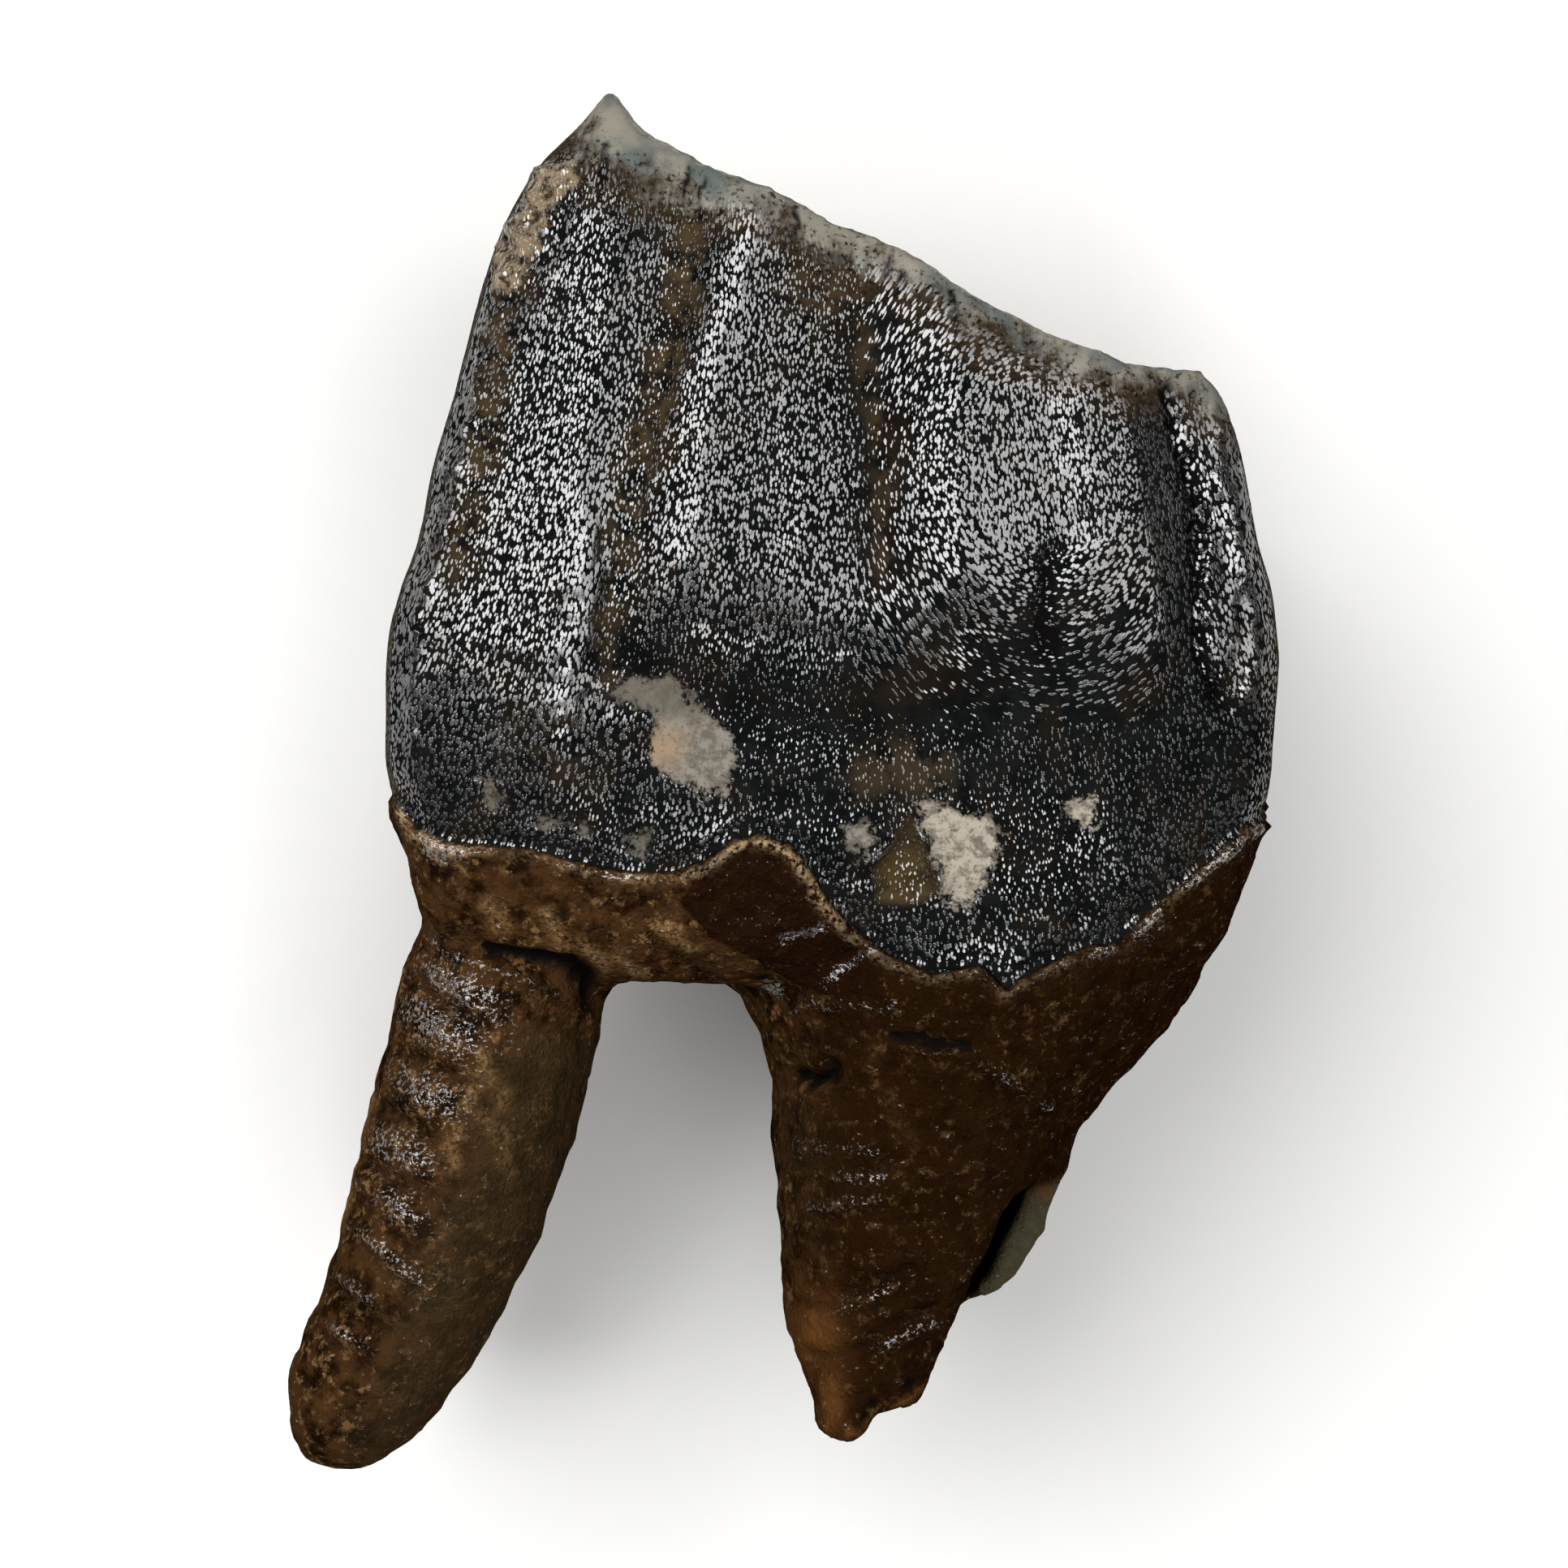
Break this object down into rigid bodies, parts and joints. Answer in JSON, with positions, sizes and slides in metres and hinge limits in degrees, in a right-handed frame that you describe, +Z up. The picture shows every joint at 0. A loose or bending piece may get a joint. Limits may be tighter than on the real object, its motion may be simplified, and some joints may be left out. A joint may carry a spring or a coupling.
{
  "type": "fossil woolly rhino tooth",
  "caption": "Fossil upper cheek tooth of a woolly rhino, lying with its ribbed cheek side up: slanting worn edge, wrinkled dark enamel and long brown roots, one broken open.",
  "frame": {"origin": "centre of the base of the bounding box, on the surface that the tooth lies on", "axes": "+X towards the mesial edge, +Y from the root tips towards the worn edge, +Z up, out of the cheek wall"},
  "size_m": [0.0606, 0.0836, 0.0477],
  "materials": {
    "fossil_enamel": "glossy, finely wrinkled, dark grey-brown enamel over duller brown roots"
  },
  "bodies": {
    "root": {"tooth": "fossil_enamel"}
  },
  "joints": []
}
